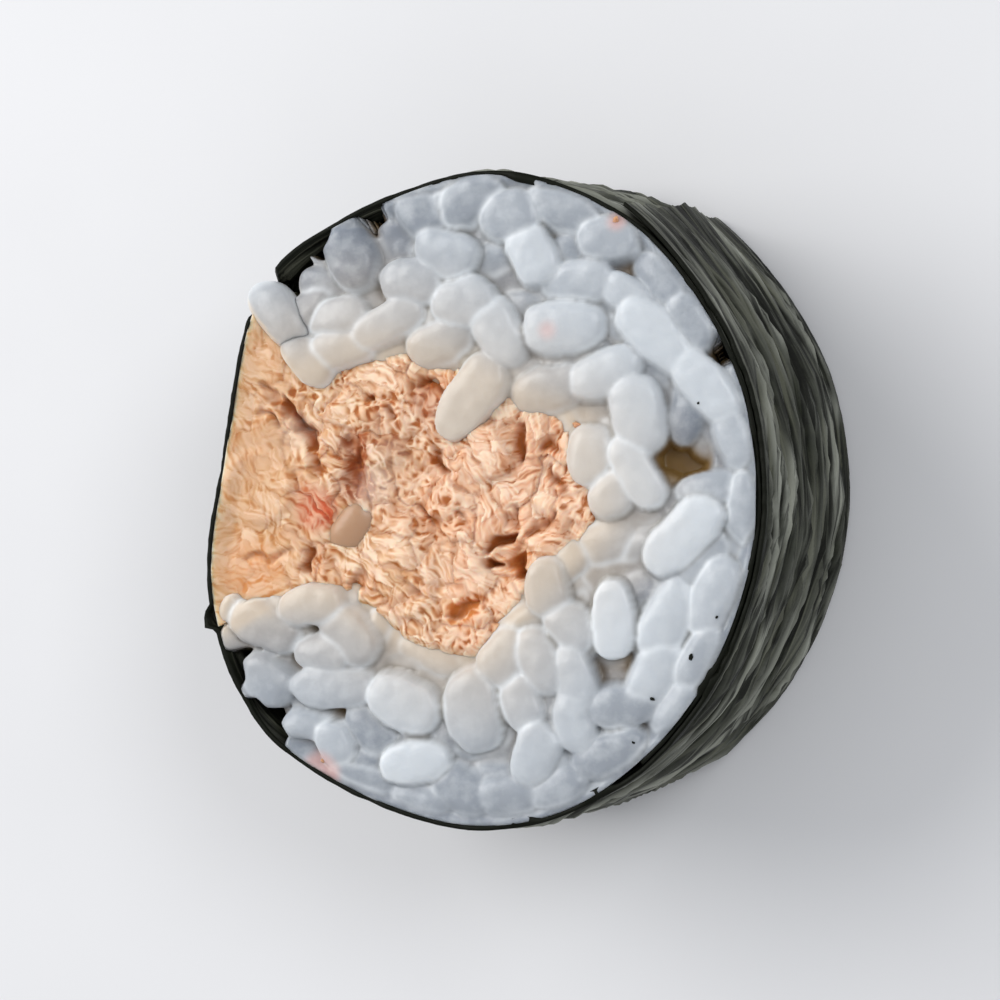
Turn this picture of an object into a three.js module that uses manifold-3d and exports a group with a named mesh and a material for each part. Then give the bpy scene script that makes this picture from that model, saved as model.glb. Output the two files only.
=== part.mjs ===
// One cut piece of a tuna sushi roll, standing on its lower cut face.
// A nori sheet is wrapped once round and a third of the way again. It holds sushi rice, and the rice
// holds an off-centre filling of flaked tuna that reaches the nori on the -X side.
// Millimetres, +Z up. The origin is the middle of the bounding box, at the level of the lower cut.

import * as THREE from "three";
import { mergeVertices } from "three/addons/utils/BufferGeometryUtils.js";
import Module from "manifold-3d";

// ---- Driving dimensions ----

const PIECE_HEIGHT = 25; // between the two knife cuts
const CLEARANCE = 0.3; // between one food layer and the next

// The roll's outline seen from above, counter-clockwise from the wrapper's free edge. It is a round of
// about 22 mm radius, a little taller than wide, pressed flat on the filling's side.
const ROLL_OUTLINE = [
  [10.8, 21.2],
  [1.1, 24.3],
  [-9.5, 21.5],
  [-17.2, 16.3],
  [-20.3, 4.0],
  [-21.6, -7.5],
  [-17.3, -17.2],
  [-7.5, -22.8],
  [0.8, -24.2],
  [8.5, -22.0],
  [16.8, -14.3],
  [21.2, -3.0],
  [20.4, 8.0],
  [16.2, 16.0],
];

// The filling's outline where the rice bounds it. Its left side is cut off by the wrapper.
const FILLING_OUTLINE = [
  [8.6, 0.6],
  [6.2, 5.4],
  [1.4, 7.6],
  [-3.2, 9.4],
  [-9.0, 10.4],
  [-13.4, 8.8],
  [-18.0, 13.6],
  [-25.0, 12.0],
  [-26.0, -7.0],
  [-19.0, -8.8],
  [-14.6, -6.8],
  [-10.4, -6.4],
  [-5.4, -9.8],
  [-0.2, -10.4],
  [3.0, -6.4],
  [7.4, -2.6],
];

const NORI_THICKNESS = 0.5;
const NORI_LAYER_GAP = 0.15; // between the two layers where the sheet overlaps itself
const NORI_OVERLAP = 1 / 3; // share of the way round that has two layers
const NORI_STEP_DOWN = 0.04; // share of the way round over which the outer layer comes down to the rice
const NORI_FLAP = { length: 0.035, lift: 0.6 }; // the free edge stands off the roll
const NORI_CRINKLE = { height: 0.45, length: 9, width: 2.6, slant: 1.4 }; // ridges that run round the wall
const NORI_EDGE = { ragged: 0.35, length: 4.5 }; // how unevenly the cut edges run
const NORI_DROP = 0.3; // the sheet's upper edge lies this far below the cut, on average
const NORI_LIFT = 0.6; // its lower edge hangs clear of the board by this much, on average
const NORI_COLUMNS = 60; // 45 to a turn, so the edges of the two layers line up
const NORI_ROWS = 12;

const GRAIN = { length: 7.2, width: 3.4, thickness: 3.0 };
const GRAIN_VARIATION = 0.14; // share by which one grain's size differs from the next
const GRAIN_SIDES = 5;
const GRAIN_RINGS = 4;
const GRAIN_BLUNTNESS = 2.4; // 2 is an ellipsoid, and more has fuller ends
const GRAIN_SPACING = 3.05; // least distance between the middles of two grains
const GRAIN_TRIES = 6000; // places drawn on each cut face
const GRAIN_TURNS = 9; // directions tried at a place, of which the least crowded is kept
const GRAIN_MOST_TILT = 0.6; // radians out of the cut face
const GRAIN_STANDING = { share: 0.14, tilt: 1.05, spread: 0.4 }; // grains that are seen nearly end on
const RIM_MARGIN = 1.1; // from a grain's middle to the edge of the rice
const RICE_CORE_SUNK = 2.0; // the core lies this far below the upper cut, behind the grains
const RICE_CORE_RAISED = 1.3; // and this far above the lower cut
const UPPER_GRAIN_PROUD = { least: -1.0, most: 0.4 }; // of a grain's top over the upper cut
const LOWER_GRAIN_PROUD = { least: 0.1, most: 0.9 }; // what the knife takes off below the lower cut

const FILLING_GRID = 1.35; // spacing of the points that carry the relief of its two ends
const FILLING_SUNK = 0.8; // the filling's mean level below the upper cut
const FILLING_LUMPS = { height: 1.0, size: 5.5 };
const FILLING_FLAKES = { height: 1.0, length: 5.0, width: 2.4, direction: -0.5, bend: 7 };
const FILLING_REST = 0.9; // its lower end's mean level above the board
const FILLING_LEAST_REST = 0.2;
const FILLING_LOWER_RELIEF = 0.5; // the lower end's relief as a share of the upper end's

const SEEDS = { upperGrains: 11, lowerGrains: 23, upperRelief: 5, lowerRelief: 17, crinkle: 31, edge: 41 };

const COLOURS = { nori: 0x23281f, rice: 0xd5d8da, tuna: 0xd9a883 };

// ---- Small helpers ----

const wasm = await Module();
wasm.setup();

const smooth = (t) => t * t * (3 - 2 * t);
const clamp01 = (t) => Math.min(1, Math.max(0, t));
const mix = (a, b, t) => a + (b - a) * t;

// A seeded stream of numbers from 0 to 1 (mulberry32).
function randomStream(seed) {
  let state = seed;
  return () => {
    state = (state + 0x6d2b79f5) | 0;
    let mixed = Math.imul(state ^ (state >>> 15), 1 | state);
    mixed ^= mixed + Math.imul(mixed ^ (mixed >>> 7), 61 | mixed);
    return ((mixed ^ (mixed >>> 14)) >>> 0) / 2 ** 32;
  };
}

// Smooth noise from -1 to 1 that changes over a distance of about 1.
function noise(x, y, seed) {
  const column = Math.floor(x);
  const row = Math.floor(y);
  const corner = (i, j) => {
    const wave = Math.sin((column + i) * 127.1 + (row + j) * 311.7 + seed * 74.7) * 43758.5453;
    return 2 * (wave - Math.floor(wave)) - 1;
  };
  const across = smooth(x - column);
  const near = mix(corner(0, 0), corner(1, 0), across);
  const far = mix(corner(0, 1), corner(1, 1), across);
  return mix(near, far, smooth(y - row));
}

// ---- Outlines ----

function closedCurve(points) {
  const corners = points.map(([x, y]) => new THREE.Vector3(x, y, 0));
  return new THREE.CatmullRomCurve3(corners, true, "centripetal");
}

const rollCurve = closedCurve(ROLL_OUTLINE);
const fillingCurve = closedCurve(FILLING_OUTLINE);
const OUTLINE_POINTS = 120;

// The curve's point at a share of the way round, moved outwards by a distance.
function offsetPoint(curve, share, outwards) {
  const around = ((share % 1) + 1) % 1;
  const point = curve.getPointAt(around);
  const along = curve.getTangentAt(around);
  return new THREE.Vector2(point.x + along.y * outwards, point.y - along.x * outwards);
}

function offsetOutline(curve, outwards) {
  return Array.from({ length: OUTLINE_POINTS }, (_, i) => offsetPoint(curve, i / OUTLINE_POINTS, outwards));
}

const insideNori = offsetOutline(rollCurve, -(NORI_THICKNESS + CLEARANCE));
const fillingOutline = offsetOutline(fillingCurve, 0);
const roundFilling = offsetOutline(fillingCurve, CLEARANCE);

function isInside(outline, x, y) {
  let inside = false;
  outline.forEach((a, i) => {
    const b = outline[(i + 1) % outline.length];
    const crosses = a.y > y !== b.y > y && x < ((b.x - a.x) * (y - a.y)) / (b.y - a.y) + a.x;
    inside = crosses ? !inside : inside;
  });
  return inside;
}

// ---- Solids ----

function solidFrom(geometry) {
  const bare = new THREE.BufferGeometry();
  bare.setAttribute("position", geometry.getAttribute("position"));
  bare.setIndex(geometry.index);
  const merged = mergeVertices(bare, 1e-4);
  return new wasm.Manifold(
    new wasm.Mesh({
      numProp: 3,
      vertProperties: new Float32Array(merged.getAttribute("position").array),
      triVerts: new Uint32Array(merged.index.array),
    }),
  );
}

function geometryFrom(solid) {
  const mesh = solid.getMesh();
  const geometry = new THREE.BufferGeometry();
  geometry.setAttribute("position", new THREE.BufferAttribute(mesh.vertProperties, 3));
  geometry.setIndex(new THREE.BufferAttribute(mesh.triVerts, 1));
  geometry.computeVertexNormals();
  return geometry;
}

function prism(outline, low, high) {
  const shape = new THREE.Shape(outline);
  const geometry = new THREE.ExtrudeGeometry(shape, { depth: high - low, bevelEnabled: false });
  return solidFrom(geometry.translate(0, 0, low));
}

// A prism that reaches well past both cuts, to cut another solid with.
const cutter = (outline) => prism(outline, -PIECE_HEIGHT, 2 * PIECE_HEIGHT);

// The largest single body: what a cut leaves loose is dropped.
function largestBody(solid) {
  const bySize = solid.decompose().sort((a, b) => b.volume() - a.volume());
  return bySize[0];
}

// ---- Nori ----

// How far the sheet's outer face stands off the roll's outline, at a share of the way round
// counted from its free edge.
function noriStandOff(wrapped) {
  const doubled = NORI_THICKNESS + NORI_LAYER_GAP;
  const steppedDown = clamp01((wrapped - NORI_OVERLAP) / NORI_STEP_DOWN);
  const flap = clamp01(1 - wrapped / NORI_FLAP.length);
  return doubled * (1 - smooth(steppedDown)) + NORI_FLAP.lift * flap * flap;
}

// The ridges in the wall. They only stand outwards, so that the rice keeps its room, and they follow
// the place on the roll, so that both layers have the same ones.
function noriCrinkle(place, height) {
  const x = place.x / NORI_CRINKLE.length;
  const y = place.y / NORI_CRINKLE.length;
  const level = height / NORI_CRINKLE.width + NORI_CRINKLE.slant * noise(x / 2, y / 2, SEEDS.crinkle);
  const ridge = noise(x, level, SEEDS.crinkle + 1) + noise(y, level, SEEDS.crinkle + 2);
  return NORI_CRINKLE.height * (0.5 + 0.25 * ridge);
}

function noriPoint(columnShare, rowShare, isInner) {
  const wrapped = columnShare * (1 + NORI_OVERLAP);
  const around = 1 - wrapped; // from the free edge the sheet runs clockwise
  const distance = wrapped * rollCurve.getLength();
  const ragged = NORI_EDGE.ragged * noise(distance / NORI_EDGE.length, 2 * rowShare, SEEDS.edge);
  const height = mix(NORI_LIFT, PIECE_HEIGHT - NORI_DROP, rowShare) + ragged;
  const crinkle = noriCrinkle(offsetPoint(rollCurve, around, 0), height);
  const outwards = noriStandOff(wrapped) + crinkle - (isInner ? NORI_THICKNESS : 0);
  const point = offsetPoint(rollCurve, around, outwards);
  return [point.x, point.y, height];
}

// A closed sheet: an outer and an inner grid of points, joined along their four edges.
function sheetGeometry(columns, rows, pointAt) {
  const positions = [];
  for (const isInner of [false, true])
    for (let i = 0; i <= columns; i++)
      for (let j = 0; j <= rows; j++) positions.push(...pointAt(i / columns, j / rows, isInner));
  const perFace = (columns + 1) * (rows + 1);
  const outer = (i, j) => i * (rows + 1) + j;
  const inner = (i, j) => perFace + outer(i, j);
  const index = [];
  const quad = (a, b, c, d) => index.push(a, b, c, a, c, d);
  for (let i = 0; i < columns; i++) {
    for (let j = 0; j < rows; j++) {
      quad(outer(i, j), outer(i, j + 1), outer(i + 1, j + 1), outer(i + 1, j));
      quad(inner(i, j), inner(i + 1, j), inner(i + 1, j + 1), inner(i, j + 1));
    }
    quad(outer(i, 0), outer(i + 1, 0), inner(i + 1, 0), inner(i, 0));
    quad(outer(i, rows), inner(i, rows), inner(i + 1, rows), outer(i + 1, rows));
  }
  for (let j = 0; j < rows; j++) {
    quad(outer(0, j), inner(0, j), inner(0, j + 1), outer(0, j + 1));
    quad(outer(columns, j), outer(columns, j + 1), inner(columns, j + 1), inner(columns, j));
  }
  const geometry = new THREE.BufferGeometry();
  geometry.setAttribute("position", new THREE.Float32BufferAttribute(positions, 3));
  geometry.setIndex(index);
  geometry.computeVertexNormals();
  return geometry;
}

const makeNori = () => sheetGeometry(NORI_COLUMNS, NORI_ROWS, noriPoint);

// ---- Rice ----

// Points along a grain's length that show how crowded a place is.
function grainSpine(grain) {
  const reach = (grain.length - grain.width) / 2;
  return [-1, -0.5, 0, 0.5, 1].map((share) => ({
    x: grain.x + Math.cos(grain.turn) * Math.cos(grain.tilt) * reach * share,
    y: grain.y + Math.sin(grain.turn) * Math.cos(grain.tilt) * reach * share,
  }));
}

function crowding(grain, others) {
  const spine = grainSpine(grain);
  let crowd = 0;
  for (const point of spine) if (!isInRice(point.x, point.y, 0)) crowd += GRAIN.width;
  for (const other of others) {
    if (Math.hypot(other.x - grain.x, other.y - grain.y) > GRAIN.length) continue;
    for (const a of spine)
      for (const b of other.spine) {
        const overlap = (grain.width + other.width) / 2 - Math.hypot(a.x - b.x, a.y - b.y);
        crowd += Math.max(0, overlap);
      }
  }
  return crowd;
}

// Grains over one cut face: seeded places, never closer than the spacing, and each turned the way
// that crowds its neighbours least.
function scatterGrains(seed) {
  const random = randomStream(seed);
  const grains = [];
  const reach = new THREE.Box2().setFromPoints(insideNori);
  for (let i = 0; i < GRAIN_TRIES; i++) {
    const x = mix(reach.min.x, reach.max.x, random());
    const y = mix(reach.min.y, reach.max.y, random());
    if (!isInRice(x, y, RIM_MARGIN)) continue;
    if (grains.some((other) => Math.hypot(other.x - x, other.y - y) < GRAIN_SPACING)) continue;
    const size = 1 + GRAIN_VARIATION * (2 * random() - 1);
    const stands = random() < GRAIN_STANDING.share;
    const lean = 2 * random() - 1;
    const grain = {
      x,
      y,
      length: GRAIN.length * size,
      width: GRAIN.width * (1 + GRAIN_VARIATION * (2 * random() - 1)),
      thickness: GRAIN.thickness * size,
      tilt: stands ? GRAIN_STANDING.tilt + GRAIN_STANDING.spread * lean : GRAIN_MOST_TILT * lean,
      chance: random(),
    };
    const first = Math.PI * random();
    let best = Infinity;
    for (let k = 0; k < GRAIN_TURNS; k++) {
      const turned = { ...grain, turn: first + (Math.PI * k) / GRAIN_TURNS };
      const crowd = crowding(turned, grains);
      if (crowd < best) {
        best = crowd;
        grain.turn = turned.turn;
      }
    }
    grain.spine = grainSpine(grain);
    grains.push(grain);
  }
  return grains;
}

// Half the height that a tilted grain takes up.
function grainReach(grain) {
  return Math.hypot(grain.length * Math.sin(grain.tilt), grain.thickness * Math.cos(grain.tilt)) / 2;
}

// A round ball with its poles on the X axis, made fuller towards them.
function bluntBall() {
  const geometry = new THREE.SphereGeometry(1, GRAIN_SIDES, GRAIN_RINGS).rotateZ(-Math.PI / 2);
  const corners = geometry.getAttribute("position");
  for (let i = 0; i < corners.count; i++) {
    const corner = new THREE.Vector3().fromBufferAttribute(corners, i);
    const along = Math.abs(corner.x) ** GRAIN_BLUNTNESS;
    const across = Math.hypot(corner.y, corner.z) ** GRAIN_BLUNTNESS;
    corner.multiplyScalar(0.5 / (along + across) ** (1 / GRAIN_BLUNTNESS));
    corners.setXYZ(i, corner.x, corner.y, corner.z);
  }
  return geometry;
}

function grainSolid(grain, z) {
  const geometry = bluntBall();
  geometry.rotateX(grain.chance * Math.PI);
  geometry.scale(grain.length, grain.width, grain.thickness);
  geometry.rotateY(-grain.tilt);
  geometry.rotateZ(grain.turn);
  return solidFrom(geometry.translate(grain.x, grain.y, z));
}

// Whether a round spot lies in the rice, clear of the nori and of the filling.
function isInRice(x, y, radius) {
  const turns = radius ? [0, 1, 2, 3, 4, 5, 6, 7] : [0];
  return turns.every((turn) => {
    const rimX = x + radius * Math.cos((turn * Math.PI) / 4);
    const rimY = y + radius * Math.sin((turn * Math.PI) / 4);
    return isInside(insideNori, rimX, rimY) && !isInside(roundFilling, rimX, rimY);
  });
}

function makeRice() {
  const upper = scatterGrains(SEEDS.upperGrains).map((grain) => {
    const proud = mix(UPPER_GRAIN_PROUD.least, UPPER_GRAIN_PROUD.most, grain.chance);
    return grainSolid(grain, PIECE_HEIGHT + proud - grainReach(grain));
  });
  const lower = scatterGrains(SEEDS.lowerGrains).map((grain) => {
    const proud = mix(LOWER_GRAIN_PROUD.least, LOWER_GRAIN_PROUD.most, grain.chance);
    return grainSolid(grain, grainReach(grain) - proud);
  });
  const core = prism(insideNori, RICE_CORE_RAISED, PIECE_HEIGHT - RICE_CORE_SUNK);
  const heap = [...upper, ...lower].reduce((joined, grain) => joined.add(grain), core);
  const cutFlatBelow = heap.intersect(prism(insideNori, 0, 2 * PIECE_HEIGHT));
  return geometryFrom(largestBody(cutFlatBelow.subtract(cutter(roundFilling))));
}

// ---- Tuna ----

// The torn flakes and lumps of one end of the filling, as a height about its mean level.
function fillingRelief(x, y, seed) {
  const { height, length, width, direction } = FILLING_FLAKES;
  const along = x * Math.cos(direction) + y * Math.sin(direction);
  const across = -x * Math.sin(direction) + y * Math.cos(direction);
  const bend = noise(x / FILLING_FLAKES.bend, y / FILLING_FLAKES.bend, seed + 2);
  const flake = 1 - 2 * Math.abs(noise(along / length + bend, across / width + bend, seed + 1));
  const lump = noise(x / FILLING_LUMPS.size, y / FILLING_LUMPS.size, seed);
  return FILLING_LUMPS.height * lump + height * flake;
}

function makeTuna() {
  const reach = new THREE.Box2().setFromPoints(fillingOutline);
  const size = reach.getSize(new THREE.Vector2());
  const block = sheetGeometry(
    Math.round(size.y / FILLING_GRID),
    Math.round(size.x / FILLING_GRID),
    (yShare, xShare, isLower) => {
      const x = mix(reach.min.x, reach.max.x, xShare);
      const y = mix(reach.min.y, reach.max.y, yShare);
      const upper = PIECE_HEIGHT - FILLING_SUNK + fillingRelief(x, y, SEEDS.upperRelief);
      const lower = FILLING_REST + FILLING_LOWER_RELIEF * fillingRelief(x, y, SEEDS.lowerRelief);
      return [x, y, isLower ? Math.max(FILLING_LEAST_REST, lower) : upper];
    },
  );
  const cut = solidFrom(block).intersect(cutter(fillingOutline)).intersect(cutter(insideNori));
  return geometryFrom(largestBody(cut));
}

// ---- The piece ----

function named(name, geometry, roughness) {
  const material = new THREE.MeshStandardMaterial({ color: COLOURS[name], roughness, metalness: 0 });
  const mesh = new THREE.Mesh(geometry, material);
  mesh.name = name;
  return mesh;
}

const roll = new THREE.Group();
roll.add(named("nori", makeNori(), 0.55), named("rice", makeRice(), 0.4), named("tuna", makeTuna(), 0.5));

const box = new THREE.Box3().setFromObject(roll, true);
roll.position.set(-(box.min.x + box.max.x) / 2, -(box.min.y + box.max.y) / 2, -box.min.z);

export default roll;
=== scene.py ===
"""One cut piece of a tuna sushi roll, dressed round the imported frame.

Sizes and places are in millimetres, and build_piece turns them into the frame's metres. The piece
stands on its lower cut face, +Z is up, and the filling reaches the nori on the -X side. Each cut
end is a relief over a square grid, and a wall that runs past the roll's middle closes it behind.
"""

import math

import bpy
import numpy as np
from mathutils import Matrix, Vector
from mathutils.bvhtree import BVHTree


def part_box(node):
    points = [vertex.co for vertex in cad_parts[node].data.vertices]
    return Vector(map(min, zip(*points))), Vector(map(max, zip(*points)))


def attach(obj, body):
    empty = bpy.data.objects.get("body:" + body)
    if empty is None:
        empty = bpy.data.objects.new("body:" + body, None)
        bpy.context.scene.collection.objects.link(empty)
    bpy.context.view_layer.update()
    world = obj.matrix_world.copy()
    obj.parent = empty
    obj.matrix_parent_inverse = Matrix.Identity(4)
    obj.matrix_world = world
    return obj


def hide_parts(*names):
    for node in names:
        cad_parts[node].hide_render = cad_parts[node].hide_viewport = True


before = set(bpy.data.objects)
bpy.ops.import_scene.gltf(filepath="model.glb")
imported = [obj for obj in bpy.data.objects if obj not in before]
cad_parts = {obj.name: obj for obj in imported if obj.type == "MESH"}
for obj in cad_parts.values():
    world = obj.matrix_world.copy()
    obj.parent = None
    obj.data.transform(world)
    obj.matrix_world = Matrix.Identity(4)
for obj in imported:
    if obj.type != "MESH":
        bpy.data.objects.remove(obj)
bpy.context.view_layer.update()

# ---- Sizes ----

MM = 0.001
PHOTO_MIDDLE = np.array([-0.17, -0.05])  # where the middle of the photographed cut face lies
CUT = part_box("nori")[1].z / MM  # the upper cut face; the lower one is at zero
CAD_GAP = 0.3  # between one CAD node and the next
CAD_NORI = 0.5

NORI = {"thickness": 0.32, "layer_gap": 0.12, "overlap": 1 / 3, "step_down": 0.04, "below_cut": 0.5}
NORI_FLAP = {"length": 0.035, "lift": 0.3, "curl": 0.7, "curl_height": 0.4, "curl_spread": 0.16}
# How much of the wrinkles is left at the cut edges and at the free edge, and over what width.
NORI_CALM = {"at_cut": 0.12, "cut_width": 1.8, "at_free_edge": 0.35, "free_width": 0.08}
NORI_DRAWN_IN = {"depth": 0.2, "from": 0.7, "over": 0.1}  # where one layer lies close to the rice
NORI_TEETH = {"long": 0.2, "short": 0.12, "frayed": 0.9}  # how high they are along its cut edges
WRINKLES = {"long": 0.62, "between": 0.26, "fine": 0.06, "mean": 0.45}  # how high
ROLL_RADIUS = 22
FREE_EDGE_TURN = 63.0  # degrees from +X, where the outer layer starts; it runs clockwise
NORI_COLUMNS, NORI_ROWS = 520, 84
TORN_OUT = {"turn": 138.7, "half_width": 5.6, "depth": 2.8}  # where a grain comes out over the edge
FRAYED = {"turn": 202.7, "half_width": 2.6, "out": 1.0, "height": 3.0}
# Where the edge of the nori is thicker: turn, half width, how much.
EDGE_SPOTS = [(81.5, 5.0, 0.4), (293.0, 4.0, 0.5), (277.0, 5.0, 0.4), (323.0, 3.0, 0.4)]

GRID = {"rice_upper": 0.12, "rice_lower": 0.26, "tuna_upper": 0.08, "tuna_lower": 0.22}
GRID_REACH = 25.0
FAR_DOWN = -25.0
WALL = {"below_cut": 1.8, "least_drop": 0.4, "drawn_in": 0.95, "past_middle": 1.0}
PIT_DRAWN_IN = {"below": 0.6, "share": 0.018}  # for each millimetre that a pit at the rim is deep
BURIED = 0.87  # the share of the filling's reach over which the rice under it is left out
OVER_FILLING = (-1.6, 6.4, 3.2, 1)  # apart from a grain that lies over it: x, y, radius

GRAIN = {"length": 7.0, "width": 3.3, "flatness": 0.85, "squareness": 2.3, "end": 2.8, "body": 2.1}
# How far a grain may bend, taper or roll from the mean, and how white it may be.
GRAIN_VARIES = {"roll": 0.5, "bend": 0.22, "taper": 0.1}
GRAIN_WHITE = (0.1, 0.6)
GRAIN_LEVELS, GRAIN_STEPS = 12, 5
LOOSE_RINGS, LOOSE_SIDES = 40, 40
LOOSE_LUMPS = {"height": 0.08, "size": 2.4}
SHOWN_WIDER = 1.06
MOST_PROUD = 0.9
# What fills the creases between the grains.
STARCH = {"bridge": 0.45, "sunk": 0.4, "rim": 0.35, "lowest": 1.4, "deepest": 4.4, "soft": 0.3}
STARCH_WHITE, STARCH_STANDS = 0.2, -1.0
PRESSED = {"from": -0.6, "soft": 0.9, "raised": 0.15}  # the cut leaves the tops nearly flat
# The borders between grains: a groove, a painted highlight along the higher grain and a painted shade
# on the lower.
SEAM = {"groove": 0.05, "highlight_rounds": 2, "highlight_gain": 2.6, "shadow_rounds": 5, "shadow_gain": 4.0}
# How far the rice drops at the nori, over what width, and over what width it is evened out.
RICE_RIM = {"drop": 0.3, "width": 0.3, "even": 0.6, "even_rounds": 6}
# How deep between the grains the painted brown shade and, near the nori, the painted dark shade begin,
# and over what depth they come.
DEPTH_SHADE = {"from": 0.8, "over": 2.0}
SHADE = {"from": 1.6, "over": 1.6, "near_nori": 2.6}
WARMTH = [(0.55, 10, 9), (0.4, 3.5, 3)]  # how much, from how far off the filling, and over how far

# The grains between and under those that show: how many at most, tries, how far the top stands
# over the cut, and the least distance between them.
UPPER_FILL = [(70, 4000, (-1.3, -0.5), 2.2), (90, 4000, (-2.2, -1.3), 2.4)]
LOWER_FILL = [(120, 6000, (-0.2, 0.8), 2.9), (90, 4000, (-1.8, -0.8), 2.4)]
CROWDED = {"nori": 4.0, "filling": 9.0}  # what it costs a grain to lie across their borders
DEEP_GAP, GAP_KEPT_FREE = 1.4, 1.4

# Grains that show on the upper cut, from the left rim round: x, y and turn of the long axis in
# degrees, length, width, how far the top stands over the cut (below zero, under it), and how
# white the grain is, from glassy grey at 0 to white at 1.
UPPER_GRAINS = [
    (-15.7, 12.9, -50, 5.8, 2.9, -0.7, 0.5),
    (-13.7, 10.7, -42, 5.2, 3.2, 0.0, 0.3), (-12.5, 16.2, -18, 5.6, 3.2, -0.9, 0.15),
    (-11.2, 13.6, 10, 5.1, 2.9, 0.2, 0.5), (-10.5, 18.6, 116, 6.8, 3.9, 0.3, 0.1),
    (-6.7, 19.8, 112, 5.6, 3.6, -1.1, 0.1), (-4.7, 21.4, -52, 5.4, 3.5, -0.2, 0.25),
    (-2.9, 21.9, 22, 6.2, 3.7, -0.5, 0.35), (-0.9, 22.2, 34, 6.2, 3.8, 0.1, 0.35),
    (-2.6, 18.4, -24, 5.5, 3.5, 0.5, 0.6), (-5.2, 16.1, -4, 5.6, 3.4, 0.2, 0.5),
    (-10.8, 11.4, 14, 6.4, 3.1, 0.1, 0.5), (-7.1, 13.1, 24, 6.2, 3.0, 0.4, 0.6),
    (-3.2, 11.9, 18, 5.6, 3.5, 0.0, 0.5), (-1.2, 14.4, 8, 5.4, 3.8, 0.6, 0.65),
    (1.5, 12.5, -62, 5.8, 3.6, 0.3, 0.8), (-0.7, 7.6, 53, 7.4, 3.9, 0.9, 0.5),
    (2.3, 21.0, 4, 4.9, 3.8, 0.3, 0.45), (4.1, 18.0, -62, 4.9, 3.6, 0.6, 0.85),
    (0.9, 18.2, 30, 5.4, 3.5, -1.0, 0.3), (6.4, 21.4, -20, 6.2, 3.4, -0.1, 0.4),
    (9.9, 19.1, -6, 4.9, 3.2, 0.3, 0.5), (14.1, 16.3, -54, 6.2, 3.2, -0.2, 0.35),
    (16.2, 13.1, -50, 5.0, 3.1, 0.1, 0.4), (7.4, 16.1, 4, 6.4, 3.3, 0.1, 0.65),
    (6.6, 12.8, 4, 6.6, 3.9, 0.5, 0.8), (11.5, 14.9, -36, 4.8, 2.7, 0.0, 0.7),
    (13.7, 12.1, -43, 7.6, 3.6, 0.6, 0.9), (17.5, 8.4, -48, 7.2, 3.4, 0.4, 0.9),
    (9.7, 9.4, 24, 6.2, 3.4, 0.3, 0.8), (5.3, 8.4, 8, 6.8, 3.6, -0.2, 0.45),
    (12.2, 6.2, 104, 6.4, 4.0, 0.7, 0.85), (8.5, 3.4, 92, 4.7, 3.8, 0.3, 0.8),
    (12.3, 2.2, -58, 6.0, 3.0, 0.5, 0.9), (10.4, 0.7, 38, 4.8, 3.2, 0.2, 0.75),
    (16.2, 6.2, -56, 7.4, 2.8, -1.3, 0.4), (17.3, 1.0, 10, 5.0, 2.6, -0.2, 0.45),
    (20.1, -0.4, 86, 5.4, 2.7, 0.1, 0.5), (19.3, 4.7, -72, 5.4, 2.8, -0.1, 0.6),
    (15.7, -2.3, 43, 7.6, 3.6, 0.9, 1.0), (10.3, -8.6, 92, 6.2, 3.2, 0.9, 1.0),
    (9.6, -3.1, 12, 6.6, 4.2, -0.9, 0.4), (8.3, -6.2, 70, 5.4, 3.2, -1.4, 0.3),
    (14.5, -8.1, 62, 7.2, 3.6, 0.2, 0.85), (17.8, -6.9, 66, 6.6, 3.5, 0.2, 0.65),
    (17.2, -3.8, 48, 5.4, 3.2, -0.3, 0.55), (13.4, -12.2, 60, 6.4, 3.5, 0.1, 0.8),
    (17.0, -11.3, 62, 6.2, 3.2, 0.0, 0.5), (14.9, -15.0, 50, 5.2, 3.0, -0.1, 0.5),
    (10.9, -15.0, 6, 5.4, 3.1, 0.1, 0.35), (10.0, -18.5, 20, 6.6, 3.5, 0.0, 0.3),
    (7.3, -12.9, 98, 5.6, 3.0, 0.5, 0.7), (7.2, -16.0, 100, 4.8, 3.0, 0.4, 0.7),
    (4.2, -18.4, 60, 4.9, 3.3, 0.6, 0.7), (5.4, -6.3, 98, 4.8, 3.3, 0.3, 0.45),
    (7.0, -9.1, -42, 4.9, 3.4, 0.2, 0.6), (2.0, -11.2, 58, 5.8, 3.6, 0.1, 0.55),
    (4.5, -11.6, -60, 5.6, 3.4, 0.3, 0.6), (3.4, -14.7, -72, 5.2, 3.3, 0.2, 0.6),
    (-0.4, -15.4, 100, 6.6, 4.2, 0.5, 0.6), (5.8, -20.9, 18, 5.2, 3.0, -0.2, 0.35),
    (2.2, -21.7, 8, 5.6, 3.4, -0.1, 0.35), (-1.5, -21.3, -32, 5.8, 3.5, -0.2, 0.3),
    (-4.9, -22.0, -10, 5.6, 3.0, -0.3, 0.35), (-9.0, -20.8, -22, 6.6, 2.9, -0.2, 0.35),
    (-5.0, -19.4, 8, 5.6, 2.9, 0.7, 0.95), (-5.8, -15.0, -26, 6.2, 3.8, 0.7, 0.8),
    (-11.6, -13.9, -1, 7.2, 3.0, 0.3, 0.55), (-17.1, -13.6, -30, 4.9, 3.6, 0.2, 0.4),
    (-17.2, -9.6, -24, 6.4, 3.6, 0.1, 0.3), (-20.1, -8.1, 62, 2.6, 1.7, -0.3, 0.3),
    (-13.3, -7.9, 5, 5.2, 3.1, 0.4, 0.4), (-10.7, -9.9, -46, 6.4, 3.7, 0.1, 0.45),
    (-12.6, -11.5, 2, 5.0, 2.9, -0.2, 0.45), (-4.4, -11.4, -26, 7.4, 3.4, -0.9, 0.3),
    (-8.6, -17.0, -40, 5.2, 3.2, -0.4, 0.25), (-13.6, -17.0, -12, 4.6, 2.6, -0.1, 0.5),
    (-11.6, -18.2, -62, 3.9, 2.8, 0.3, 0.6),
]

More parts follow.
